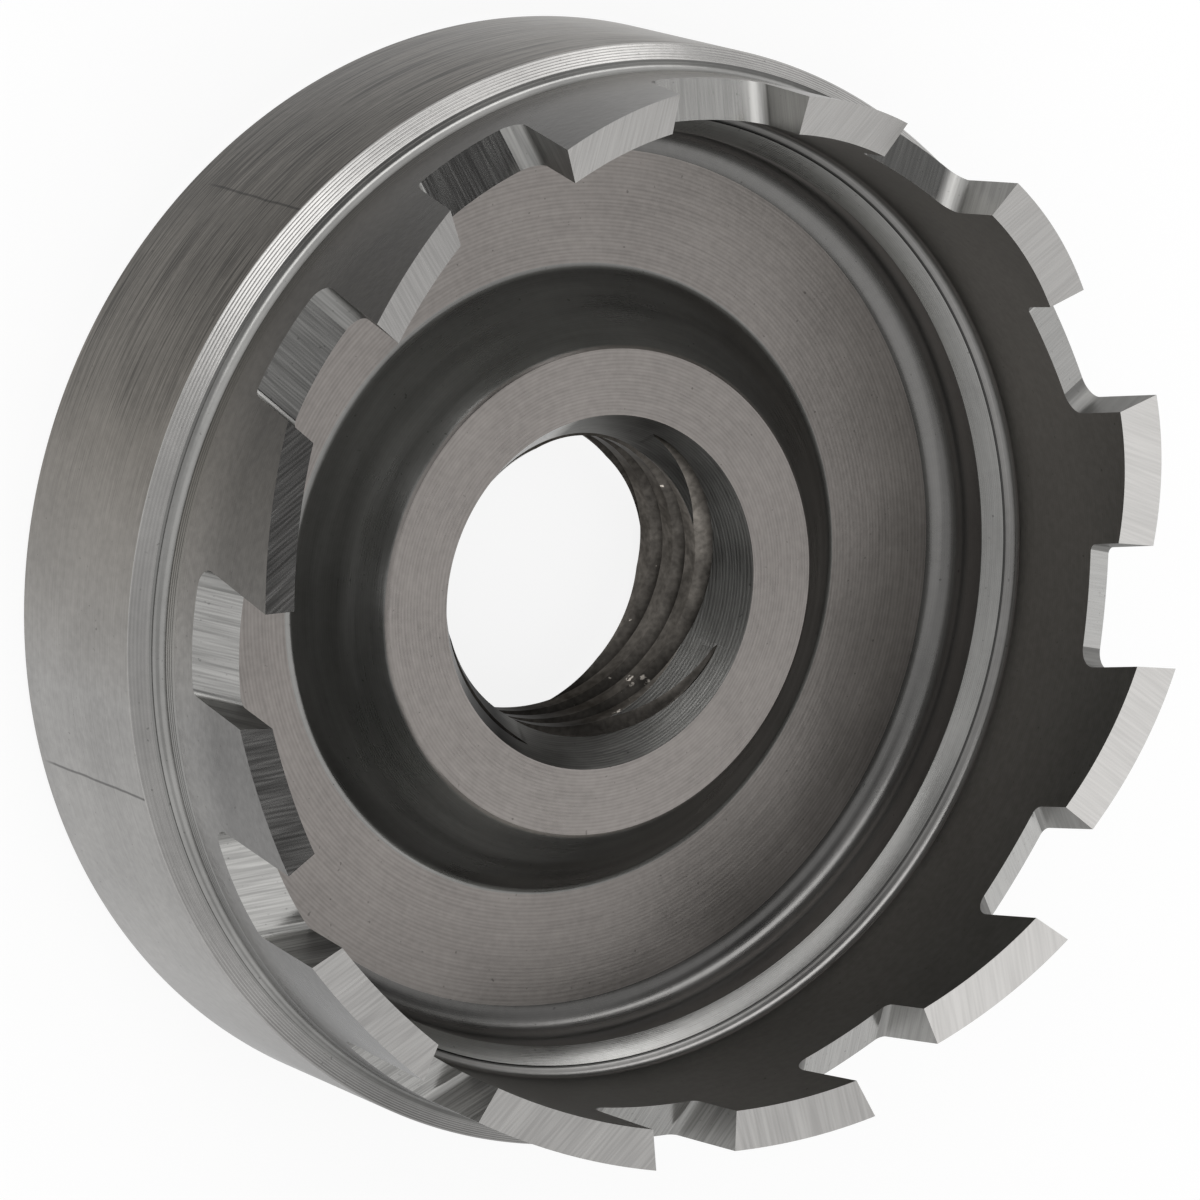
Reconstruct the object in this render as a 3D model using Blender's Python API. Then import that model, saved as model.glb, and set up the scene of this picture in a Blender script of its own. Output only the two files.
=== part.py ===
"""Annular cutter: a turned steel cup with a threaded hub and a ring of milled teeth.

The cutter stands on its flat back face with the teeth up. The origin is the centre of the back
face, Z runs along the cutting axis, and the first tooth's cutting edge lies on +X. Lengths are in
metres and angles in degrees.
"""
import math

import bmesh
import bpy
from mathutils import Matrix, Vector

# Body, seen as turned on a lathe
BODY_DIAMETER = 0.0506
BODY_HEIGHT = 0.00984            # back face to the outer edge of the shoulder
BACK_BEVEL = 0.0003
SHOULDER_WIDTH = 0.00111         # the body stands out from the tooth ring by this much
SHOULDER_RISE = 0.00176          # outer edge of the shoulder to the foot of the ring's wall

# Tooth ring
CUTTER_HEIGHT = 0.01974          # back face to the cutting edges
RING_WALL = 0.00175
RING_FOOT_FILLET = 0.0006

# Cup between the ring and the hub
WEB_THICKNESS = 0.00506          # back face to the floor of the cup
LEDGE_HEIGHT = 0.0085            # back face to the ledge inside the ring
LEDGE_WIDTH = 0.00065            # the ledge, with the fillet beside it
LEDGE_BEVEL = 0.00064
CUP_FILLET = 0.00128

# Hub with its threaded bore
HUB_DIAMETER = 0.0225
HUB_HEIGHT = 0.00838
HUB_FLARE = 0.0032               # the hub's side widens by this much on its way to the floor
HUB_FOOT_FILLET = 0.0004
THREAD_DIAMETER = 0.01524
THREAD_PITCH = 0.001954          # 13 threads to the inch, between neighbouring grooves
THREAD_STARTS = 4
THREAD_DROP = 0.00055            # hub face to the root of the first groove, in line with +X
COUNTERSINK_DIAMETER = 0.01634
COUNTERSINK_DEPTH = 0.00246
BORE_BACK_BEVEL = 0.0006

# Teeth: the pitch is uneven so that the cutter runs without chatter
TOOTH_PITCHES = (32, 30, 28, 32, 29, 28, 32, 28, 30, 29, 31, 31)
GULLET_WIDTH = 0.00571
GULLET_DEPTH = 0.006             # cutting edge to the gullet's floor, at the outside of the ring
GULLET_FLOOR_DIP = 0.0002        # the floor falls by this much on its way to the heel
ROOT_RADIUS = 0.00085            # under the cutting face
HEEL_RADIUS = 0.0004             # under the back of the tooth before
RAKE_ANGLE = 11.2
FLOOR_ANGLE = 31                 # the gullet's floor climbs inwards
TIP_ANGLE = 17                   # the cutting edge falls inwards
RELIEF_ANGLE = 14.5              # the land falls away behind the cutting edge

# Thread form, as shares of the pitch
thread_depth_share = 0.446
root_flat_share = 0.11
mouth_width_share = 0.547
thread_shift_share = 0.25        # of a step, so the groove's sections lie between the bore's edges

# Outline of the shoulder: shares of its width, measured inwards, and of its rise
shoulder_shares = ((0, 0), (0.59, 0.39), (0.8, 0.545), (0.955, 0.7), (0.99, 0.85), (1, 1))

# Cutting tools reach past the metal by this share of what they cut
overrun_share = 0.25

# Facets
BODY_STEPS = 96
THREAD_STEPS = 48
ARC_STEPS = 4

body_radius = BODY_DIAMETER / 2
ring_radius = body_radius - SHOULDER_WIDTH
ring_inner_radius = ring_radius - RING_WALL
hub_radius = HUB_DIAMETER / 2
thread_radius = THREAD_DIAMETER / 2
bore_radius = thread_radius - THREAD_PITCH * thread_depth_share
blank_height = CUTTER_HEIGHT + RING_WALL * overrun_share


def tangent(angle):
    return math.tan(math.radians(angle))


def arc(centre, radius, start, end, steps):
    """Points on a circle in the profile plane, angles in degrees from the outward direction."""
    points = []
    for index in range(steps + 1):
        angle = math.radians(start + (end - start) * index / steps)
        points.append((centre[0] + radius * math.cos(angle), centre[1] + radius * math.sin(angle)))
    return points


def outer_profile():
    """Body and ring from the cutting edges down to the back face, as radius and height."""
    points = [(ring_radius, blank_height)]
    for width_share, rise_share in reversed(shoulder_shares):
        radius = body_radius - SHOULDER_WIDTH * width_share
        points.append((radius, BODY_HEIGHT + SHOULDER_RISE * rise_share))
    points.append((body_radius, BACK_BEVEL))
    points.append((body_radius - BACK_BEVEL, 0))
    return points


def bore_profile():
    """Back end of the bore up to the countersink in the hub's face."""
    return [
        (bore_radius + BORE_BACK_BEVEL, 0),
        (bore_radius, BORE_BACK_BEVEL),
        (bore_radius, HUB_HEIGHT - COUNTERSINK_DEPTH),
        (COUNTERSINK_DIAMETER / 2, HUB_HEIGHT),
    ]


def cup_profile():
    """Hub face, flared side of the hub, cup floor, cup wall, ledge and the inside of the ring."""
    points = [(hub_radius, HUB_HEIGHT)]
    flare = math.degrees(math.atan2(HUB_HEIGHT - WEB_THICKNESS, HUB_FLARE))
    hub_foot = hub_radius + HUB_FLARE + HUB_FOOT_FILLET * tangent(flare / 2)
    foot_centre = (hub_foot, WEB_THICKNESS + HUB_FOOT_FILLET)
    points += arc(foot_centre, HUB_FOOT_FILLET, 270 - flare, 270, ARC_STEPS)

    ledge_inner = ring_inner_radius - LEDGE_WIDTH
    lip = (ledge_inner - LEDGE_BEVEL, LEDGE_HEIGHT - LEDGE_BEVEL)
    fillet_centre = (lip[0] - CUP_FILLET, WEB_THICKNESS + CUP_FILLET)
    points += arc(fillet_centre, CUP_FILLET, 270, 360, ARC_STEPS)

    points.append(lip)
    points.append((ledge_inner, LEDGE_HEIGHT))
    foot_centre = (ring_inner_radius - RING_FOOT_FILLET, LEDGE_HEIGHT + RING_FOOT_FILLET)
    points += arc(foot_centre, RING_FOOT_FILLET, 270, 360, ARC_STEPS)
    points.append((ring_inner_radius, blank_height))
    return points


def new_object(name, mesh):
    piece = bpy.data.objects.new(name, mesh)
    bpy.context.collection.objects.link(piece)
    return piece


def mesh_from(shape, name):
    """Turn a bmesh into a mesh with its faces pointing out."""
    bmesh.ops.recalc_face_normals(shape, faces=shape.faces)
    mesh = bpy.data.meshes.new(name)
    shape.to_mesh(mesh)
    shape.free()
    return mesh


def turned_blank(name, profile):
    """Spin a closed profile around Z."""
    shape = bmesh.new()
    rings = []
    for step in range(BODY_STEPS):
        turn = Matrix.Rotation(math.tau * step / BODY_STEPS, 4, "Z")
        rings.append([shape.verts.new(turn @ Vector((radius, 0, height))) for radius, height in profile])
    for step in range(BODY_STEPS):
        here = rings[step]
        there = rings[(step + 1) % BODY_STEPS]
        for index in range(len(profile)):
            after = (index + 1) % len(profile)
            shape.faces.new((here[index], there[index], there[after], here[after]))
    return new_object(name, mesh_from(shape, name))


def add_prism(shape, outline, sweep, place):
    """Extrude a flat outline along a sweep vector, then move it to its place."""
    face = shape.faces.new([shape.verts.new(point) for point in outline])
    swept = bmesh.ops.extrude_face_region(shape, geom=[face])
    corners = [item for item in swept["geom"] if isinstance(item, bmesh.types.BMVert)]
    bmesh.ops.translate(shape, verts=corners, vec=sweep)
    bmesh.ops.transform(shape, matrix=place, verts=list(face.verts) + corners)


def cutting_edge_angles():
    """Angle of each tooth's cutting edge; the teeth follow one another clockwise."""
    angles = []
    angle = 0
    for pitch in TOOTH_PITCHES:
        angles.append(angle)
        angle -= pitch
    return angles


def land_height(x, y):
    """Height of the ground land at a place in its tooth's own frame, cutting edge along X."""
    return CUTTER_HEIGHT + (x - ring_radius) * tangent(TIP_ANGLE) + y * tangent(RELIEF_ANGLE)


def land_cutter():
    """One wedge above each tooth, its underside the tooth's land."""
    shape = bmesh.new()
    inner = ring_inner_radius - RING_WALL * 2
    outer = ring_radius + RING_WALL
    ahead = GULLET_WIDTH * overrun_share
    top = blank_height + RING_WALL
    for angle, pitch in zip(cutting_edge_angles(), TOOTH_PITCHES):
        behind = -ring_radius * math.sin(math.radians(pitch)) + GULLET_WIDTH * overrun_share * 2
        underside = [(inner, ahead), (outer, ahead), (outer, behind), (inner, behind)]
        low = [shape.verts.new((x, y, land_height(x, y))) for x, y in underside]
        high = [shape.verts.new((x, y, top)) for x, y in underside]
        faces = [low, high]
        for index in range(4):
            after = (index + 1) % 4
            faces.append([low[index], low[after], high[after], high[index]])
        for corners in faces:
            shape.faces.new(corners)
        place = Matrix.Rotation(math.radians(angle), 4, "Z")
        bmesh.ops.transform(shape, matrix=place, verts=low + high)
    return hidden_cutter("land_wheel", shape)


def gullet_outline(x):
    """The gullet seen along the cutting edge: cutting face, root, floor, heel, back of a tooth."""
    lean = tangent(RAKE_ANGLE)
    drop = (x - ring_radius) * tangent(FLOOR_ANGLE)
    floor = CUTTER_HEIGHT - GULLET_DEPTH - drop
    top = blank_height + RING_WALL * overrun_share
    foot_y = (floor - CUTTER_HEIGHT) * lean
    heel_y = foot_y + GULLET_WIDTH
    dip = math.degrees(math.atan2(GULLET_FLOOR_DIP, GULLET_WIDTH))

    root_setback = ROOT_RADIUS * tangent((90 + RAKE_ANGLE) / 2)
    root_centre = (foot_y + root_setback, floor + ROOT_RADIUS)
    root = arc(root_centre, ROOT_RADIUS, 180 - RAKE_ANGLE, 270 - dip, ARC_STEPS)
    heel_setback = HEEL_RADIUS * tangent((90 - RAKE_ANGLE) / 2)
    heel_centre = (heel_y - heel_setback, floor - GULLET_FLOOR_DIP + HEEL_RADIUS)
    heel = arc(heel_centre, HEEL_RADIUS, 270 - dip, 360 - RAKE_ANGLE, ARC_STEPS)

    over_face = ((top - CUTTER_HEIGHT) * lean, top)
    over_heel = (over_face[0] + GULLET_WIDTH, top)
    return [Vector((x, y, z)) for y, z in [over_face, *root, *heel, over_heel]]


def gullet_cutter():
    """One slanted slot ahead of each tooth, its side the tooth's cutting face."""
    shape = bmesh.new()
    start = ring_radius + RING_WALL * overrun_share
    length = RING_WALL * 2 + GULLET_WIDTH * overrun_share
    climb = length * tangent(FLOOR_ANGLE)
    sweep = Vector((-length, climb * tangent(RAKE_ANGLE), climb))
    for angle in cutting_edge_angles():
        place = Matrix.Rotation(math.radians(angle), 4, "Z")
        add_prism(shape, gullet_outline(start), sweep, place)
    return hidden_cutter("gullet_mill", shape)


def thread_section():
    """Corners of a thread groove, from its mouth to its root, as radius and offset along Z."""
    depth = THREAD_PITCH * thread_depth_share
    overlap = depth * overrun_share
    flank_slope = (mouth_width_share - root_flat_share) / 2 / thread_depth_share
    root_half = THREAD_PITCH * root_flat_share / 2
    mouth_half = root_half + (depth + overlap) * flank_slope
    inner = bore_radius - overlap
    return [
        (inner, -mouth_half),
        (thread_radius, -root_half),
        (thread_radius, root_half),
        (inner, mouth_half),
    ]


def thread_cutter():
    """Right-hand helical ridges, one for each start, that leave the thread in the bore."""
    shape = bmesh.new()
    lead = THREAD_PITCH * THREAD_STARTS
    rise = lead / THREAD_STEPS
    overrun = THREAD_PITCH
    first_root = HUB_HEIGHT - THREAD_DROP
    lowest = -math.ceil((first_root + overrun) / rise)
    highest = math.ceil((THREAD_DROP + overrun) / rise)
    for start in range(THREAD_STARTS):
        sections = []
        for step in range(lowest, highest + 1):
            place = step + thread_shift_share
            turn = Matrix.Rotation(math.tau * (start / THREAD_STARTS + place / THREAD_STEPS), 4, "Z")
            height = first_root + rise * place
            ridge = [turn @ Vector((radius, 0, height + z)) for radius, z in thread_section()]
            sections.append([shape.verts.new(point) for point in ridge])
        for here, there in zip(sections, sections[1:]):
            for index in range(4):
                after = (index + 1) % 4
                shape.faces.new((here[index], here[after], there[after], there[index]))
        shape.faces.new(sections[0])
        shape.faces.new(sections[-1])
    return hidden_cutter("thread_tap", shape)


def hidden_cutter(name, shape):
    cutter = new_object(name, mesh_from(shape, name))
    cutter.hide_render = True
    cutter.display_type = "WIRE"
    return cutter


def cut(piece, cutter):
    modifier = piece.modifiers.new(cutter.name, "BOOLEAN")
    modifier.operation = "DIFFERENCE"
    modifier.solver = "EXACT"
    modifier.object = cutter


def turned_steel():
    material = bpy.data.materials.new("turned_steel")
    material.use_nodes = True
    surface = material.node_tree.nodes["Principled BSDF"]
    surface.inputs["Base Color"].default_value = (0.42, 0.41, 0.40, 1)
    surface.inputs["Metallic"].default_value = 1
    surface.inputs["Roughness"].default_value = 0.32
    return material


def build():
    for leftover in list(bpy.data.objects):
        bpy.data.objects.remove(leftover)
    profile = bore_profile() + cup_profile() + outer_profile()
    cutter = turned_blank("cutter", profile)
    cut(cutter, thread_cutter())
    cut(cutter, land_cutter())
    cut(cutter, gullet_cutter())
    cutter.data.materials.append(turned_steel())
    cutter.data.shade_smooth()
    cutter.data.set_sharp_from_angle(angle=math.radians(30))


build()
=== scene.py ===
"""Annular cutter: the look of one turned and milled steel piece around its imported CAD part."""
import math

import bmesh
import bpy
from mathutils import Matrix, Vector


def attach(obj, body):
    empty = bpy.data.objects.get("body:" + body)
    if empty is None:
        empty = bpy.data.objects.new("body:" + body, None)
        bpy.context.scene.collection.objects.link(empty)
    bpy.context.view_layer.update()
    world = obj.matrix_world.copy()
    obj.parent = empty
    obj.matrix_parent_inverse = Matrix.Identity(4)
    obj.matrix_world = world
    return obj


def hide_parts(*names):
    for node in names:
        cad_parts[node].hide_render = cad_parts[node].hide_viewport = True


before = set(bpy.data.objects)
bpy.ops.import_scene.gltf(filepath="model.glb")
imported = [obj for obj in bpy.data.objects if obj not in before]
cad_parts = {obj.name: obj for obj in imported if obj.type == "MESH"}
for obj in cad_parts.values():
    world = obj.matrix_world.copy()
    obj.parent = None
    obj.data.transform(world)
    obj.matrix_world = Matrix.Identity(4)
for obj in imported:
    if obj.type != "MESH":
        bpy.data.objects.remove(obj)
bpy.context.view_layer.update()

MM = 0.001
MM_PER_METRE = 1000

# Main sizes, the same as in the CAD part, in metres and degrees
BODY_RADIUS = 25.3 * MM
BODY_HEIGHT = 9.84 * MM
BACK_BEVEL = 0.3 * MM
CUTTER_HEIGHT = 19.74 * MM
RING_RADIUS = 24.19 * MM
RING_WALL = 1.75 * MM
RING_INNER_RADIUS = 22.44 * MM
RING_FOOT_FILLET = 0.6 * MM
WEB_THICKNESS = 5.06 * MM
LEDGE_HEIGHT = 8.5 * MM
LEDGE_WIDTH = 0.65 * MM
LEDGE_BEVEL = 0.64 * MM
CUP_FILLET = 1.28 * MM
HUB_RADIUS = 11.25 * MM
HUB_HEIGHT = 8.38 * MM
HUB_FLARE = 3.2 * MM
HUB_FOOT_FILLET = 0.4 * MM
THREAD_RADIUS = 7.62 * MM
THREAD_PITCH = 1.954 * MM
THREAD_STARTS = 4
THREAD_DROP = 0.55 * MM
THREAD_DEPTH = 0.446 * THREAD_PITCH
BORE_RADIUS = THREAD_RADIUS - THREAD_DEPTH
COUNTERSINK_RADIUS = 8.17 * MM
COUNTERSINK_DEPTH = 2.46 * MM
BORE_BACK_BEVEL = 0.6 * MM
BLANK_HEIGHT = 20.18 * MM
TOOTH_PITCHES = (32, 30, 28, 32, 29, 28, 32, 28, 30, 29, 31, 31)
GULLET_WIDTH = 5.71 * MM
GULLET_DEPTH = 6 * MM
GULLET_FLOOR_DIP = 0.2 * MM
ROOT_RADIUS = 0.85 * MM
HEEL_RADIUS = 0.4 * MM
RAKE_ANGLE = 11.2
FLOOR_ANGLE = 31
TIP_ANGLE = 17
RELIEF_ANGLE = 14.5

# Thread groove: half its root as a share of the pitch, half width gained per depth, how far the
# tool reaches into the bore as a share of the depth, and the root's small bevels
THREAD_ROOT_SHARE = 0.055
THREAD_FLANK_SLOPE = 0.49
THREAD_OVERLAP = 0.25
THREAD_ROOT_BEVEL = 0.08 * MM
THREAD_ROOT_LAND = 0.05 * MM

# Fine forms that only the look has: the hub's rippled flank, the lip and groove of the ledge (in
# millimetres out and down), and what the lathe left outside (millimetres in and up from the body's
# outer edge)
HUB_EDGE = 0.05 * MM
FLARE_STEPS = 34
RIPPLE_DEPTH = 0.012 * MM
RIPPLE_LENGTH = 0.19 * MM
RIPPLE_SWELL = 2.6
FLOOR_EDGE = 0.02 * MM
LIP_EDGE = ((0, 0.1, "cup_wall"), (0.02, 0.06, "ledge_bevel"))
LEDGE_GROOVE = ((0.13, 0.03, "ledge_groove"), (0.18, 0.07, "ledge_groove"), (0.25, 0.01, "ledge"))
FOOT_RISE = 2.3 * MM
FOOT_GROOVES = ((1.11, 2.2), (1.105, 1.5))
FOOT_GROOVE_DEPTH = 0.012 * MM
BEAD = ((1.11, 1.46), (1.1, 1.34), (1.08, 1.22), (1.048, 1.13),
        (1.01, 1.06), (0.96, 1.0), (0.9, 0.955), (0.84, 0.93))
STEP = ((0.79, 0.9), (0.79, 0.8))
SHOULDER_TOP = (0.69, 0.745)
SHOULDER_GROOVES = ((0.67, 0.705), (0.04, 0.05))
SHOULDER_GROOVE_DEPTH = 0.01 * MM
BODY_EDGE = ((0.01, 0.01), (0, -0.04))

# One turning groove: shares of its width and of its depth
GROOVE_FORM = ((0.08, 0), (0.3, 0.8), (0.55, 1), (0.8, 0.6), (0.97, 0))

# Fineness round the axis, and the angle in degrees from which an edge stays sharp
BODY_STEPS = 432
THREAD_STEPS = 144
SHARP_ANGLE = 28

# Degrees that a face may lie ahead of the cutting edge it belongs to, the upright part of the
# normal below which a milled face is a side of the gullet, and the metres between the lines of
# two teeth, so that no two look the same
LAND_LEAD = 1
GULLET_LEAD = 17
GULLET_SIDE_NORMAL = 0.85
TOOTH_LINE_SHIFT = 0.01

# Camera of the photograph, in the part's frame
CAMERA_PLACE = (-0.21729145, 0.046372, 0.34296325)
CAMERA_RIGHT = (0.83910822, 0.14565915, 0.5241)
CAMERA_UP = (-0.05991208, 0.98236762, -0.1771)
CAMERA_BACK = (-0.5406551, 0.11720614, 0.83303948)
CAMERA_LENS = 265.818
CAMERA_SENSOR = 36
CAMERA_SHIFT = (0.00265, 0.006558)
CAMERA_CLIP = (0.01, 20)

# Floor: it lies just under the back face; the camera and mirrors see the second of each pair
FLOOR_REACH = 3.0
FLOOR_DROP = 0.02 * MM
FLOOR_ROUGHNESS = 0.9
FLOOR_COLOUR = (0.82, 0.2)
FLOOR_GLOW = (0.0, 0.85)

# Room: its light, and azimuth, elevation, outer and inner reach and light of its darker corners
ROOM_LIGHT = 0.65
DARK_CORNERS = ((22, 28, 27, 13, 0.05), (95, 47, 22, 12, 0.05), (132, 59, 18, 6, 0.25))

# Lamps: name, azimuth, elevation, width and height in metres, and level
LAMPS = (("key_lamp", 106, 19, (1.75, 0.52), 2.1), ("top_lamp", 275, 58, (1.25, 1.0), 0.38))


def tangent(angle):
    return math.tan(math.radians(angle))


def direction(azimuth, elevation=0):
    """Unit vector; the azimuth runs anticlockwise from +X."""
    a, e = math.radians(azimuth), math.radians(elevation)
    return Vector((math.cos(a) * math.cos(e), math.sin(a) * math.cos(e), math.sin(e)))


def arc(centre, radius, start, end, steps):
    """Points from one angle in degrees to another, anticlockwise from the X axis."""
    points = []
    for index in range(steps + 1):
        angle = math.radians(start + (end - start) * index / steps)
        points.append((centre[0] + radius * math.cos(angle), centre[1] + radius * math.sin(angle)))
    return points


def scallops(start, end, count, depth):
    """Turning grooves along a straight line of the profile, cut in to its right-hand side."""
    along = Vector(end) - Vector(start)
    inward = Vector((-along.y, along.x)).normalized()
    points = []
    for index in range(count):
        for share, part in GROOVE_FORM:
            place = Vector(start) + along * ((index + share) / count) + inward * depth * part
            points.append((place.x, place.y))
    return points


def tagged(points, finish):
    """Points of the profile; the stretch after each point has the finish."""
    return [(radius, height, finish) for radius, height in points]


def bore_and_hub():
    """From the back end of the bore over the hub to the floor of the cup."""
    points = [
        (BORE_RADIUS + BORE_BACK_BEVEL, 0, "back"),
        (BORE_RADIUS, BORE_BACK_BEVEL, "bore"),
        (BORE_RADIUS, HUB_HEIGHT - COUNTERSINK_DEPTH, "countersink"),
        (COUNTERSINK_RADIUS, HUB_HEIGHT, "hub_face"),
        (HUB_RADIUS - HUB_EDGE, HUB_HEIGHT, "hub_face"),
    ]
    slope = (HUB_HEIGHT - WEB_THICKNESS) / HUB_FLARE
    for step in range(1, FLARE_STEPS - 1):
        out = HUB_FLARE * step / FLARE_STEPS
        swell = math.sin(out / HUB_FLARE * RIPPLE_SWELL)
        ripple = RIPPLE_DEPTH * math.sin(out / RIPPLE_LENGTH) * swell
        points.append((HUB_RADIUS + out, HUB_HEIGHT - out * slope + ripple, "hub_side"))
    flare = math.degrees(math.atan(slope))
    foot = HUB_RADIUS + HUB_FLARE + HUB_FOOT_FILLET * tangent(flare / 2)
    centre = (foot, WEB_THICKNESS + HUB_FOOT_FILLET)
    points += tagged(arc(centre, HUB_FOOT_FILLET, 272 - flare, 270, steps=8), "hub_side")
    points.append((foot + FLOOR_EDGE, WEB_THICKNESS, "cup_floor"))
    return points


def cup_and_ledge():
    """From the floor of the cup up its wall and over the ledge to the top inside the ring."""
    ledge_inner = RING_INNER_RADIUS - LEDGE_WIDTH
    lip = (ledge_inner - LEDGE_BEVEL, LEDGE_HEIGHT - LEDGE_BEVEL)
    centre = (lip[0] - CUP_FILLET, WEB_THICKNESS + CUP_FILLET)
    points = tagged(arc(centre, CUP_FILLET, 270, 328, steps=14), "cup_fillet")
    points += tagged(arc(centre, CUP_FILLET, 330, 360, steps=6), "cup_wall")
    for out, down, finish in LIP_EDGE:
        points.append((lip[0] + out * MM, lip[1] - down * MM, finish))
    for out, down, finish in LEDGE_GROOVE:
        points.append((ledge_inner + out * MM, LEDGE_HEIGHT - down * MM, finish))
    foot = LEDGE_HEIGHT + RING_FOOT_FILLET
    centre = (RING_INNER_RADIUS - RING_FOOT_FILLET, foot)
    points += tagged(arc(centre, RING_FOOT_FILLET, 300, 360, steps=10)[:-1], "ledge")
    points.append((RING_INNER_RADIUS, foot, "ring_inside"))
    points.append((RING_INNER_RADIUS, BLANK_HEIGHT, "land"))
    return points


def from_body_edge(places):
    """Places given in millimetres in and up from the outer edge of the body."""
    return [(BODY_RADIUS - width * MM, BODY_HEIGHT + rise * MM) for width, rise in places]


def ring_and_body():
    """From the top outside the ring down over the shoulder and the body to the back face."""
    foot_grooves = scallops(*from_body_edge(FOOT_GROOVES), count=4, depth=FOOT_GROOVE_DEPTH)
    shoulder_ends = from_body_edge(SHOULDER_GROOVES)
    shoulder_grooves = scallops(*shoulder_ends, count=6, depth=SHOULDER_GROOVE_DEPTH)
    points = [(RING_RADIUS, BLANK_HEIGHT, "ring_outside")]
    points.append((RING_RADIUS, BODY_HEIGHT + FOOT_RISE, "ring_foot"))
    points += tagged(foot_grooves, "ring_foot")
    points += tagged(from_body_edge(BEAD), "bead")
    points += tagged(from_body_edge(STEP), "step")
    points += tagged(from_body_edge([SHOULDER_TOP]), "shoulder")
    points += tagged(shoulder_grooves, "shoulder")
    points += tagged(from_body_edge(BODY_EDGE), "side")
    points.append((BODY_RADIUS, BACK_BEVEL, "back"))
    points.append((BODY_RADIUS - BACK_BEVEL, 0, "back"))
    return points


def new_object(name, data):
    made = bpy.data.objects.new(name, data)
    bpy.context.collection.objects.link(made)
    return made


def mesh_from(shape, name):
    bmesh.ops.recalc_face_normals(shape, faces=shape.faces)
    mesh = bpy.data.meshes.new(name)
    shape.to_mesh(mesh)
    shape.free()
    return mesh


def turned_blank(name, profile, finishes):
    """Spin the closed profile around Z; each stretch of it takes its own finish."""
    names = list(finishes)
    vertices = []
    for step in range(BODY_STEPS):
        angle = math.tau * step / BODY_STEPS
        for radius, height, _ in profile:
            vertices.append((radius * math.cos(angle), radius * math.sin(angle), height))
    faces = []
    indices = []
    count = len(profile)
    for step in range(BODY_STEPS):
        here = step * count
        there = (step + 1) % BODY_STEPS * count
        for index in range(count):
            after = (index + 1) % count
            faces.append((here + index, there + index, there + after, here + after))
            indices.append(names.index(profile[index][2]))
    mesh = bpy.data.meshes.new(name)
    mesh.from_pydata(vertices, [], faces)
    for material in finishes.values():
        mesh.materials.append(material)
    mesh.polygons.foreach_set("material_index", indices)
    shape = bmesh.new()
    shape.from_mesh(mesh)
    bmesh.ops.recalc_face_normals(shape, faces=shape.faces)
    shape.to_mesh(mesh)
    shape.free()
    return new_object(name, mesh)


def add_prism(shape, outline, sweep, place):
    face = shape.faces.new([shape.verts.new(point) for point in outline])
    swept = bmesh.ops.extrude_face_region(shape, geom=[face])
    corners = [item for item in swept["geom"] if isinstance(item, bmesh.types.BMVert)]
    bmesh.ops.translate(shape, verts=corners, vec=sweep)
    bmesh.ops.transform(shape, matrix=place, verts=list(face.verts) + corners)


def cutting_edge_angles():
    """Angle of each tooth's cutting edge; the teeth follow one another clockwise."""
    angles = []
    angle = 0
    for pitch in TOOTH_PITCHES:
        angles.append(angle)
        angle -= pitch
    return angles


def land_height(x, y):
    """Height of a tooth's land, with its cutting edge along X."""
    return CUTTER_HEIGHT + (x - RING_RADIUS) * tangent(TIP_ANGLE) + y * tangent(RELIEF_ANGLE)


def land_cutter():
    """One wedge above each tooth, its underside the tooth's ground land."""
    shape = bmesh.new()
    # The wedge reaches past the ring on every side, and over the gullets before and behind
    inner = RING_INNER_RADIUS - RING_WALL * 2
    outer = RING_RADIUS + RING_WALL
    ahead = GULLET_WIDTH * 0.25
    top = BLANK_HEIGHT + RING_WALL
    for angle, pitch in zip(cutting_edge_angles(), TOOTH_PITCHES):
        behind = -RING_RADIUS * math.sin(math.radians(pitch)) + GULLET_WIDTH * 0.5
        underside = [(inner, ahead), (outer, ahead), (outer, behind), (inner, behind)]
        low = [shape.verts.new((x, y, land_height(x, y))) for x, y in underside]
        high = [shape.verts.new((x, y, top)) for x, y in underside]
        faces = [low, high]
        for index in range(4):
            after = (index + 1) % 4
            faces.append([low[index], low[after], high[after], high[index]])
        for corners in faces:
            shape.faces.new(corners)
        place = Matrix.Rotation(math.radians(angle), 4, "Z")
        bmesh.ops.transform(shape, matrix=place, verts=low + high)
    return new_object("land_wheel", mesh_from(shape, "land_wheel"))


def gullet_outline(x):
    """The gullet seen along the cutting edge: cutting face, root, floor, heel, back of a tooth."""
    lean = tangent(RAKE_ANGLE)
    floor = CUTTER_HEIGHT - GULLET_DEPTH - (x - RING_RADIUS) * tangent(FLOOR_ANGLE)
    top = BLANK_HEIGHT + RING_WALL * 0.25
    foot_y = (floor - CUTTER_HEIGHT) * lean
    heel_y = foot_y + GULLET_WIDTH
    dip = math.degrees(math.atan2(GULLET_FLOOR_DIP, GULLET_WIDTH))
    root_centre = (foot_y + ROOT_RADIUS * tangent((90 + RAKE_ANGLE) / 2), floor + ROOT_RADIUS)
    root = arc(root_centre, ROOT_RADIUS, 180 - RAKE_ANGLE, 270 - dip, steps=14)
    heel_y_centre = heel_y - HEEL_RADIUS * tangent((90 - RAKE_ANGLE) / 2)
    heel_centre = (heel_y_centre, floor - GULLET_FLOOR_DIP + HEEL_RADIUS)
    heel = arc(heel_centre, HEEL_RADIUS, 270 - dip, 360 - RAKE_ANGLE, steps=10)
    over_face = ((top - CUTTER_HEIGHT) * lean, top)
    over_heel = (over_face[0] + GULLET_WIDTH, top)
    return [Vector((x, y, z)) for y, z in [over_face, *root, *heel, over_heel]]


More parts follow.
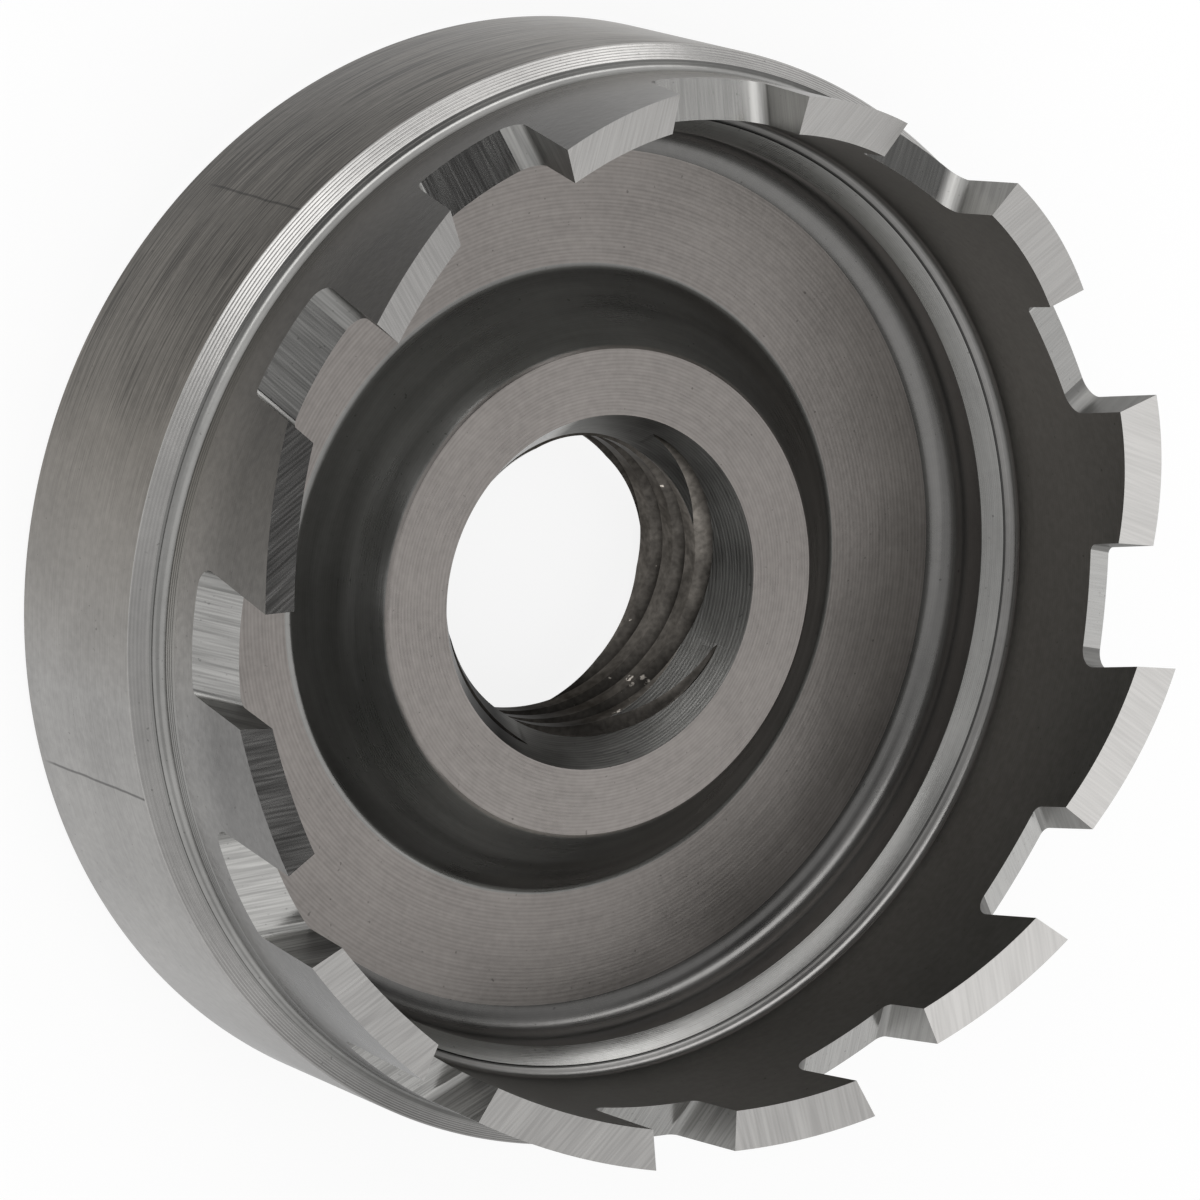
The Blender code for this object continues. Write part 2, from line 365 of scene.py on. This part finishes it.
def gullet_cutter():
    """One slanted slot ahead of each tooth, its side the tooth's cutting face."""
    shape = bmesh.new()
    start = RING_RADIUS + RING_WALL * 0.25
    length = RING_WALL * 2 + GULLET_WIDTH * 0.25
    climb = length * tangent(FLOOR_ANGLE)
    sweep = Vector((-length, climb * tangent(RAKE_ANGLE), climb))
    for angle in cutting_edge_angles():
        place = Matrix.Rotation(math.radians(angle), 4, "Z")
        add_prism(shape, gullet_outline(start), sweep, place)
    return new_object("gullet_mill", mesh_from(shape, "gullet_mill"))


def thread_section():
    """Corners of a thread groove from its mouth to its root, as radius and offset along Z."""
    depth = THREAD_RADIUS - BORE_RADIUS
    overlap = depth * THREAD_OVERLAP
    root_half = THREAD_PITCH * THREAD_ROOT_SHARE
    mouth_half = root_half + (depth + overlap) * THREAD_FLANK_SLOPE
    inner = BORE_RADIUS - overlap
    near_root = THREAD_RADIUS - THREAD_ROOT_BEVEL
    return [
        (inner, -mouth_half),
        (near_root, -root_half - THREAD_ROOT_LAND),
        (THREAD_RADIUS, -root_half * 0.5),
        (THREAD_RADIUS, root_half * 0.5),
        (near_root, root_half + THREAD_ROOT_LAND),
        (inner, mouth_half),
    ]


def thread_cutter():
    """Right-hand helical ridges, one for each start, that leave the thread in the bore."""
    shape = bmesh.new()
    rise = THREAD_PITCH * THREAD_STARTS / THREAD_STEPS
    first_root = HUB_HEIGHT - THREAD_DROP
    lowest = -math.ceil((first_root + THREAD_PITCH) / rise)
    highest = math.ceil((THREAD_DROP + THREAD_PITCH) / rise)
    for start in range(THREAD_STARTS):
        sections = []
        for step in range(lowest, highest + 1):
            # The quarter step keeps the tool's edges off the blank's
            place = step + 0.25
            turns = start / THREAD_STARTS + place / THREAD_STEPS
            turn = Matrix.Rotation(math.tau * turns, 4, "Z")
            height = first_root + rise * place
            ridge = [turn @ Vector((radius, 0, height + z)) for radius, z in thread_section()]
            sections.append([shape.verts.new(point) for point in ridge])
        for here, there in zip(sections, sections[1:]):
            for index in range(len(here)):
                after = (index + 1) % len(here)
                shape.faces.new((here[index], here[after], there[after], there[index]))
        shape.faces.new(sections[0])
        shape.faces.new(sections[-1])
    return new_object("thread_tap", mesh_from(shape, "thread_tap"))


def cut(piece, tool, material):
    """Take the tool out of the piece; the faces that it leaves have the material."""
    tool.data.materials.append(material)
    tool.hide_render = True
    modifier = piece.modifiers.new(tool.name, "BOOLEAN")
    modifier.operation = "DIFFERENCE"
    modifier.solver = "EXACT"
    modifier.material_mode = "TRANSFER"
    modifier.object = tool


def apply_cuts(piece, tools):
    graph = bpy.context.evaluated_depsgraph_get()
    mesh = bpy.data.meshes.new_from_object(piece.evaluated_get(graph))
    piece.modifiers.clear()
    piece.data = mesh
    mesh.name = piece.name
    for tool in tools:
        bpy.data.objects.remove(tool)


def grinding_slant(tooth):
    """Degrees between a land's ground lines and its cutting edge; one tooth has them crossed."""
    return -30 if tooth == 6 else 28 + 17 * math.sin(tooth * 2.4)


def mark_tool_lines(mesh):
    """Store on each ground or milled face the coordinates that its tool's lines follow."""
    names = [material.name for material in mesh.materials]
    angles = cutting_edge_angles()
    climb = tangent(FLOOR_ANGLE)
    lean = tangent(RAKE_ANGLE)
    layer = mesh.attributes.new("tool_lines", "FLOAT_VECTOR", "CORNER")
    for face in mesh.polygons:
        finish = names[face.material_index]
        if finish not in ("land", "gullet"):
            continue
        if finish == "gullet" and abs(face.normal.z) < GULLET_SIDE_NORMAL:
            face.material_index = names.index("gullet_side")
        azimuth = math.degrees(math.atan2(face.center.y, face.center.x))
        lead = LAND_LEAD if finish == "land" else GULLET_LEAD
        behind = [(angle + lead - azimuth) % 360 for angle in angles]
        tooth = behind.index(min(behind))
        apart = tooth * TOOTH_LINE_SHIFT
        turn = Matrix.Rotation(-math.radians(angles[tooth]), 3, "Z")
        oblique = Matrix.Rotation(math.radians(grinding_slant(tooth)), 3, "Z")
        for corner in face.loop_indices:
            place = turn @ mesh.vertices[mesh.loops[corner].vertex_index].co
            if finish == "land":
                place = oblique @ place
                lines = (place.y, apart, place.x)
            else:
                sweep = place.x * climb
                lines = (place.y + sweep * lean, place.z + sweep + apart, place.x)
            layer.data[corner].vector = lines


# Tan film on the outside: change of each part of the colour, and the zone's azimuth and cosines
TAN_CHANGE = (0.05, 0, -0.07)
FILM_ZONE = (132, 0.45, 0.8)

# Streaks round the body: where they are strong, and lean, fineness and seed of each layer
STREAK_ZONE = (124, 0.6, 0.95, 0.1, 1)
STREAK_LAYERS = ((1.3, 3.4, 3.0), (-0.5, 1.8, 8.0))
LEAN_AZIMUTH = 222

# Thin marks along the axis: azimuth, height of the lower end in millimetres and darkness; then
# how far aside a mark is full and gone, and how far it strays, as sines of the angle
AXIAL_MARKS = ((140.5, 1.5, 0.55), (204.5, 0.5, 0.6))
MARK_EDGES = (0.0012, 0.0034)
MARK_WOBBLE = 0.006

# Ground lines: they are strongest on one side, and drawn out along the tool's path
RAKED_ZONE = (205, -0.4, 0.7, 0.5, 1.25)
LINE_STRETCH = (MM_PER_METRE, MM_PER_METRE, 40)

# Thread: painted shade on one side, painted light at the open end (heights in metres), and a burr
# where it runs out
THREAD_PAINTED_SHADE = (262, 0.3, 0.95, 1, 0.4)
PAINTED_LIGHT_OPEN_END = (0.0054, 0.0066, 1, 2.2)
BURR_PLACE = (0.0052, -0.0046, 0.0051)
BURR_REACH = (0.0003, 0.0016, 0.14, 0)


class Nodes:
    """Adds nodes to one tree in short calls; an input is a plain value or another node's socket."""

    def __init__(self, tree):
        self.tree = tree

    def node(self, kind, inputs=(), **settings):
        made = self.tree.nodes.new("ShaderNode" + kind)
        for key, value in settings.items():
            setattr(made, key, value)
        for key, value in dict(inputs).items():
            if isinstance(value, bpy.types.NodeSocket):
                self.tree.links.new(value, made.inputs[key])
            else:
                made.inputs[key].default_value = value
        return made

    def math(self, operation, first, second=0.0):
        return self.node("Math", {0: first, 1: second}, operation=operation).outputs[0]

    def add(self, first, second):
        return self.math("ADD", first, second)

    def times(self, first, second):
        return self.math("MULTIPLY", first, second)

    def vector(self, operation, *inputs):
        """Outputs of a vector operation: the vector is the first, a length or product the Value."""
        return self.node("VectorMath", enumerate(inputs), operation=operation).outputs

    def dot(self, first, second):
        return self.vector("DOT_PRODUCT", first, second)["Value"]

    def split(self, vector):
        return self.node("SeparateXYZ", {0: vector}).outputs

    def join(self, *parts):
        return self.node("CombineXYZ", enumerate(parts)).outputs[0]

    def noise(self, vector, scale, detail=2.0, seed=0.0):
        inputs = {"Vector": vector, "W": seed, "Scale": scale, "Detail": detail}
        return self.node("TexNoise", inputs, noise_dimensions="4D").outputs["Fac"]

    def ramp(self, value, low, high, bottom=0.0, top=1.0, **settings):
        inputs = {
            "Value": value,
            "From Min": low,
            "From Max": high,
            "To Min": bottom,
            "To Max": top,
        }
        return self.node("MapRange", inputs, **settings).outputs[0]

    def zone(self, around, azimuth, start, full, bottom=0.0, top=1.0):
        """A ramp towards one side; it starts and is full at these cosines of the angle to it."""
        return self.ramp(self.dot(around, direction(azimuth)), start, full, bottom, top)


class Finish(Nodes):
    """Nodes of one steel finish; a low edge tint calms the metal's glare at grazing angles."""

    def __init__(self, name, colour, roughness, anisotropy=0.0, edge_tint=1.0):
        self.material = bpy.data.materials.new(name)
        self.material.use_nodes = True
        super().__init__(self.material.node_tree)
        self.surface = self.tree.nodes["Principled BSDF"].inputs
        self.surface["Metallic"].default_value = 1
        self.surface["Anisotropic"].default_value = anisotropy
        self.surface["Specular Tint"].default_value = (edge_tint, edge_tint, edge_tint, 1)
        self.surface["Base Color"].default_value = (*colour, 1)
        self.surface["Roughness"].default_value = roughness
        self.colour = colour
        self.roughness = roughness

    def finish(self, shade, roughness_shift, bumps, film=(0, 0, 0)):
        """Shade multiplies the colour, each bump has a depth in metres, and the film is tan."""
        tan = [part * change for part, change in zip(self.colour, TAN_CHANGE)]
        tint = self.vector("MULTIPLY_ADD", film, tan, self.colour)[0]
        scaled = self.node("VectorMath", {0: tint, "Scale": shade}, operation="SCALE")
        self.tree.links.new(scaled.outputs[0], self.surface["Base Color"])
        rough = self.add(roughness_shift, self.roughness)
        self.tree.links.new(rough, self.surface["Roughness"])
        normal = None
        for height, depth in bumps:
            bump = self.node("Bump", {"Height": height, "Strength": 1.0, "Distance": depth})
            if normal:
                self.tree.links.new(normal, bump.inputs["Normal"])
            normal = bump.outputs[0]
        self.tree.links.new(normal, self.surface["Normal"])
        return self.material


def streaked(made, shade, around, height, strength):
    """Leaning streaks round the body, as if wiped, over the shade."""
    dirty = made.zone(around, *STREAK_ZONE)
    side = made.split(around)
    for lean, fineness, seed in STREAK_LAYERS:
        leaning = made.times(made.dot(around, direction(LEAN_AZIMUTH)), lean)
        level = made.times(made.add(height, leaning), fineness)
        place = made.join(level, side[0], side[1])
        streak = made.ramp(made.noise(place, 5, 3, seed), 0.45, 0.68, 0, strength)
        shade = made.times(shade, made.math("SUBTRACT", 1, made.times(streak, dirty)))
    return shade


def marked(made, shade, place, around, height):
    """Thin dark marks along the axis, over the shade."""
    for azimuth, lowest, darkness in AXIAL_MARKS:
        wobble = made.times(made.noise(place, 500, 2), MARK_WOBBLE)
        aside = made.add(made.dot(around, direction(azimuth + 90)), wobble)
        mark = made.ramp(made.math("ABSOLUTE", aside), *MARK_EDGES, darkness, 0)
        mark = made.times(mark, made.ramp(height, lowest, lowest + 1, 0, 1))
        mark = made.times(mark, made.zone(around, azimuth, 0, 0.5))
        shade = made.times(shade, made.math("SUBTRACT", 1, mark))
    return shade


def turned(name, colour, roughness, anisotropy=0.5, pitch=0.16, depth=0.6, contrast=0.12,
           bands=0.0, blotch=0.1, grain=0.03, streaks=0.0, painted_shade_zones=(), tanned=False, slope=1,
           fade=0.0, edge_tint=1.0):
    """Steel from the lathe: fine feed lines that run round the axis, with soft bands and pits.

    The feed's pitch is in millimetres and its depth in thousandths of one. The slope is -1 on a
    face that falls outwards. The painted top shade darkens the ring's outside towards the teeth.
    """
    made = Finish(name, colour, roughness, anisotropy, edge_tint)
    place = made.node("TexCoord").outputs["Object"]
    x, y, z = made.split(place)
    flat = made.join(x, y)
    around = made.vector("NORMALIZE", flat)[0]
    side = made.split(around)
    reach = made.times(made.vector("LENGTH", flat)["Value"], MM_PER_METRE)
    height = made.times(z, MM_PER_METRE)
    east = made.times(side[0], 0.9)
    north = made.times(side[1], 0.9)
    ring_place = made.join(reach, height, east)

    # The feed is a wavering sine with noise that is drawn out round the axis
    across = made.add(reach, made.times(height, slope))
    drift = made.noise(ring_place, 1.4, 2, north)
    phase = made.add(made.times(across, math.tau / pitch), made.times(drift, 9))
    feed = made.times(made.math("SINE", phase), 0.5)
    fine = made.noise(ring_place, 1.1 / pitch, 3, north)
    lines = made.add(made.times(feed, 0.45), made.times(fine, 1.3))
    lines = made.math("SUBTRACT", lines, 0.65)

    # Broad rings, clouds, pits and a rough grain
    broad = made.ramp(made.noise(ring_place, 1.6, 2, north), 0.3, 0.7, -1, 1)
    cloud = made.ramp(made.noise(place, 220, 4), 0.35, 0.65, -1, 1)
    pits = made.ramp(made.noise(place, 4200, 1), 0.73, 0.77, 0, -0.35)
    rough = made.ramp(made.noise(place, 2600, 3, 6.0), 0.35, 0.65, -1, 1)

    shade = made.add(made.times(lines, contrast), 1)
    shade = made.add(shade, made.times(broad, bands))
    shade = made.add(shade, made.times(cloud, blotch * 0.6))
    shade = made.add(shade, made.times(rough, grain))
    shade = made.add(shade, pits)
    # Painted shade: darker up the ring's outside towards the teeth
    shade = made.times(shade, made.ramp(height, 12, 15.5, 1, 1 - fade))
    # Painted shade: darker zones round the axis; in the countersink, one band made brighter
    for azimuth, start, full, left in painted_shade_zones:
        shade = made.times(shade, made.zone(around, azimuth, start, full, 1, left))
    if streaks:
        shade = streaked(made, shade, around, height, streaks)
        shade = marked(made, shade, place, around, height)
    if anisotropy:
        lathe = made.node("Tangent", direction_type="RADIAL", axis="Z")
        made.tree.links.new(lathe.outputs[0], made.surface["Tangent"])
    shift = made.add(made.times(lines, 0.05), made.times(cloud, 0.03))
    film = made.zone(around, *FILM_ZONE) if tanned else (0, 0, 0)
    bumps = [(lines, depth * 1e-6), (pits, 2e-6), (rough, grain * 2e-5)]
    return made.finish(shade, shift, bumps, film)


def tooled(name, colour, roughness, scale, depth, contrast, specks, edge_tint=1.0):
    """Ground or milled steel: lines that follow the tool's path on each tooth.

    The scale is in lines per millimetre and the depth in thousandths of a millimetre.
    """
    made = Finish(name, colour, roughness, edge_tint=edge_tint)
    place = made.node("TexCoord").outputs["Object"]
    lines_at = made.node("Attribute", attribute_name="tool_lines").outputs["Vector"]
    stretched = made.vector("MULTIPLY", lines_at, LINE_STRETCH)[0]
    fine = made.ramp(made.noise(stretched, scale, 0.5), 0.35, 0.65, -1, 1)
    coarse = made.ramp(made.noise(stretched, scale * 0.2, 2, 5.0), 0.3, 0.7, -1, 1)
    lines = made.add(made.times(fine, 0.55), made.times(coarse, 0.45))
    outward = made.vector("NORMALIZE", place)[0]
    lines = made.times(lines, made.zone(outward, *RAKED_ZONE))
    spots = made.ramp(made.noise(place, 5000, 1), 0.68, 0.74, 0, specks)
    shade = made.add(made.times(lines, contrast), 1)
    shade = made.math("SUBTRACT", shade, spots)
    return made.finish(shade, made.times(lines, 0.04), [(lines, depth * 1e-6)])


def threaded(name, colour, roughness):
    """Rough cut thread with painted shade, darkest in its roots, with torn spots that glint."""
    made = Finish(name, colour, roughness, edge_tint=0.4)
    place = made.node("TexCoord").outputs["Object"]
    flat = made.vector("MULTIPLY", place, (MM_PER_METRE, MM_PER_METRE, 0))[0]
    reach = made.vector("LENGTH", flat)["Value"]
    around = made.vector("NORMALIZE", flat)[0]
    height = made.split(place)[2]

    # Painted shade: the thread's roots are painted darker
    painted_root_shade = made.ramp(reach, 7.0, 7.5, 1, 0.3)
    # Painted shade on one side of the bore
    painted_side_shade = made.zone(around, *THREAD_PAINTED_SHADE)
    grain = made.ramp(made.noise(place, 3800, 3), 0.35, 0.65, 0.75, 1.2)
    patch = made.ramp(made.noise(place, 700, 4, 2.0), 0.38, 0.62, 0.75, 1.2)
    shade = made.times(made.times(painted_root_shade, grain), made.times(patch, painted_side_shade))
    # Painted light: brighter towards the bore's open end
    shade = made.times(shade, made.ramp(height, *PAINTED_LIGHT_OPEN_END))
    burr = made.ramp(made.vector("DISTANCE", place, BURR_PLACE)["Value"], *BURR_REACH)
    torn = made.ramp(made.add(made.noise(place, 1500, 5, 4.0), burr), 0.68, 0.71, 0, 5)
    return made.finish(made.add(shade, torn), made.times(torn, -0.03), [(grain, 5e-6)])


# Hues of the steel, written at one lightness
HUE_LIGHTNESS = 0.3
WARM = (0.312, 0.289, 0.274)
GREY = (0.303, 0.3, 0.291)
SIDE = (0.303, 0.297, 0.289)
BROWN = (0.318, 0.292, 0.262)
COOL = (0.299, 0.3, 0.286)

# Painted shade: darker zones round the axis, and one brighter band in the countersink; azimuth,
# cosines where the zone starts and is full, and the share of light left, which is above 1 in the
# brighter band
BODY_PAINTED_SHADE = ((135, 0.5, 1.0, 0.36), (268, 0.78, 0.95, 0.55))
# Painted shade on the shoulder in two zones
SHOULDER_PAINTED_SHADE = ((120, 0.95, 0.99, 0.66), BODY_PAINTED_SHADE[1])
# Painted shade on one side of the countersink, and one band on another side made brighter
SINK_PAINTED_SHADE_AND_BRIGHT_BAND = ((231, 0.94, 0.988, 0.2), (126, 0.95, 0.99, 3.2))
# Painted shadow of the ring wall on the ledge bevel
BEVEL_PAINTED_SHADOW = ((314, 0.84, 0.98, 0.45),)
# Painted shade on the ring's outside in two zones
RING_PAINTED_SHADE = ((135, 0.6, 0.97, 0.22), (268, 0.45, 0.92, 0.35))

# Finishes: name, kind, hue, lightness, roughness, settings
FINISHES = (
    ("back", turned, GREY, 0.3, 0.3, {}),
    ("bore", threaded, BROWN, 0.095, 0.36, {}),
    ("countersink", turned, GREY, 0.36, 0.38, dict(
        pitch=0.22, depth=5, contrast=0.5, blotch=0.2, painted_shade_zones=SINK_PAINTED_SHADE_AND_BRIGHT_BAND, edge_tint=0.5)),
    ("hub_face", turned, WARM, 0.315, 0.3, dict(depth=1.8, contrast=0.28, grain=0.05)),
    ("hub_side", turned, GREY, 0.27, 0.3, dict(bands=0.14, slope=-1)),
    ("cup_floor", turned, WARM, 0.31, 0.36, dict(
        anisotropy=0.2, pitch=0.18, depth=1.8, contrast=0.32, blotch=0.14, grain=0.05)),
    ("cup_fillet", turned, SIDE, 0.175, 0.28, {}),
    ("cup_wall", turned, GREY, 0.17, 0.32, {}),
    ("ledge_bevel", turned, GREY, 0.32, 0.28, dict(
        pitch=0.12, contrast=0.3, painted_shade_zones=BEVEL_PAINTED_SHADOW)),
    ("ledge", turned, SIDE, 0.25, 0.3, dict(contrast=0.2)),
    # Painted shade: the ledge's small groove is painted much darker than the faces beside it
    ("ledge_groove", turned, GREY, 0.08, 0.4, {}),
    ("ring_inside", turned, COOL, 0.25, 0.36, dict(
        depth=0.4, contrast=0.14, blotch=0.06, grain=0.06)),
    ("ring_outside", turned, SIDE, 0.272, 0.3, dict(
        contrast=0.16, blotch=0.16, grain=0.1, painted_shade_zones=RING_PAINTED_SHADE, tanned=True, fade=0.45)),
    ("ring_foot", turned, GREY, 0.27, 0.3, dict(
        pitch=0.1, contrast=0.3, painted_shade_zones=RING_PAINTED_SHADE, tanned=True)),
    ("bead", turned, GREY, 0.31, 0.32, dict(contrast=0.1, blotch=0.2, painted_shade_zones=BODY_PAINTED_SHADE[1:])),
    ("step", turned, GREY, 0.24, 0.34, {}),
    ("shoulder", turned, SIDE, 0.38, 0.25, dict(
        pitch=0.25, depth=0.4, contrast=0.24, blotch=0.12, slope=-1, painted_shade_zones=SHOULDER_PAINTED_SHADE)),
    ("side", turned, SIDE, 0.33, 0.34, dict(
        contrast=0.12, blotch=0.16, grain=0.06, streaks=0.7, painted_shade_zones=BODY_PAINTED_SHADE, tanned=True)),
    ("land", tooled, SIDE, 0.6, 0.24, dict(scale=9, depth=0.4, contrast=0.18, specks=0.0)),
    ("gullet", tooled, GREY, 0.41, 0.2, dict(scale=12, depth=0.8, contrast=0.22, specks=0.3)),
    ("gullet_side", tooled, GREY, 0.33, 0.4, dict(
        scale=9, depth=1.0, contrast=0.3, specks=0.2, edge_tint=0.35)),
    ("thread", threaded, BROWN, 0.1, 0.34, {}),
)


def tone(hue, level):
    """The hue at another lightness."""
    return tuple(part * level / HUE_LIGHTNESS for part in hue)


def steel_finishes():
    finishes = {}
    for name, kind, hue, level, roughness, settings in FINISHES:
        finishes[name] = kind(name, tone(hue, level), roughness, **settings)
    return finishes


def make_cutter():
    finishes = steel_finishes()
    profile = bore_and_hub() + cup_and_ledge() + ring_and_body()
    piece = turned_blank("steel_cutter", profile, finishes)
    tools = [thread_cutter(), land_cutter(), gullet_cutter()]
    for tool, finish in zip(tools, ("thread", "land", "gullet")):
        cut(piece, tool, finishes[finish])
    apply_cuts(piece, tools)
    mark_tool_lines(piece.data)
    piece.data.shade_smooth()
    piece.data.set_sharp_from_angle(angle=math.radians(SHARP_ANGLE))
    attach(piece, "root")
    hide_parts("cutter")


def make_floor():
    """Pale paper that takes the part's shadow and shows as white in the picture and in mirrors."""
    mesh = bpy.data.meshes.new("floor")
    signs = ((-1, -1), (1, -1), (1, 1), (-1, 1))
    corners = [(x * FLOOR_REACH, y * FLOOR_REACH, -FLOOR_DROP) for x, y in signs]
    mesh.from_pydata(corners, [], [(0, 1, 2, 3)])
    floor = new_object("floor", mesh)
    material = bpy.data.materials.new("floor_paper")
    material.use_nodes = True
    made = Nodes(material.node_tree)
    surface = made.tree.nodes["Principled BSDF"].inputs
    surface["Roughness"].default_value = FLOOR_ROUGHNESS
    surface["Specular IOR Level"].default_value = 0.0
    surface["Emission Color"].default_value = (1, 1, 1, 1)
    rays = made.node("LightPath").outputs
    mirrored = made.math("MAXIMUM", rays["Is Glossy Ray"], rays["Is Transmission Ray"])
    seen = made.math("MAXIMUM", rays["Is Camera Ray"], mirrored)
    for socket, levels in (("Base Color", FLOOR_COLOUR), ("Emission Strength", FLOOR_GLOW)):
        made.tree.links.new(made.ramp(seen, 0, 1, *levels), surface[socket])
    mesh.materials.append(material)


def make_world():
    """A plain pale room with a few darker corners."""
    world = bpy.data.worlds.new("studio")
    bpy.context.scene.world = world
    world.use_nodes = True
    made = Nodes(world.node_tree)
    place = made.node("TexCoord").outputs["Generated"]
    light = None
    for azimuth, elevation, outer, inner, dark in DARK_CORNERS:
        toward = made.dot(place, direction(azimuth, elevation))
        edges = (math.cos(math.radians(outer)), math.cos(math.radians(inner)))
        corner = made.ramp(toward, *edges, ROOM_LIGHT, dark, interpolation_type="SMOOTHSTEP")
        light = made.math("MINIMUM", light, corner) if light else corner
    made.tree.links.new(light, made.tree.nodes["Background"].inputs["Color"])


def make_lamp(name, azimuth, elevation, size, level):
    """A soft lamp a metre away that faces the cutter; a level of 1 shows as white in a mirror."""
    light = bpy.data.lights.new(name, "AREA")
    light.shape = "RECTANGLE"
    light.size = size[0]
    light.size_y = size[1]
    light.energy = level * math.pi * size[0] * size[1]
    lamp = new_object(name, light)
    lamp.location = direction(azimuth, elevation)
    lamp.rotation_euler = lamp.location.to_track_quat("Z", "Y").to_euler()


def make_camera():
    data = bpy.data.cameras.new("camera")
    camera = new_object("camera", data)
    columns = zip(CAMERA_RIGHT, CAMERA_UP, CAMERA_BACK, CAMERA_PLACE)
    camera.matrix_world = Matrix([*columns, (0, 0, 0, 1)])
    data.lens = CAMERA_LENS
    data.sensor_width = CAMERA_SENSOR
    data.shift_x, data.shift_y = CAMERA_SHIFT
    data.clip_start, data.clip_end = CAMERA_CLIP
    bpy.context.scene.camera = camera


for leftover in ("Cube", "Light", "Camera"):
    if leftover in bpy.data.objects:
        bpy.data.objects.remove(bpy.data.objects[leftover])
bpy.context.scene.view_settings.view_transform = "Standard"
make_cutter()
make_floor()
make_world()
for lamp_settings in LAMPS:
    make_lamp(*lamp_settings)
make_camera()
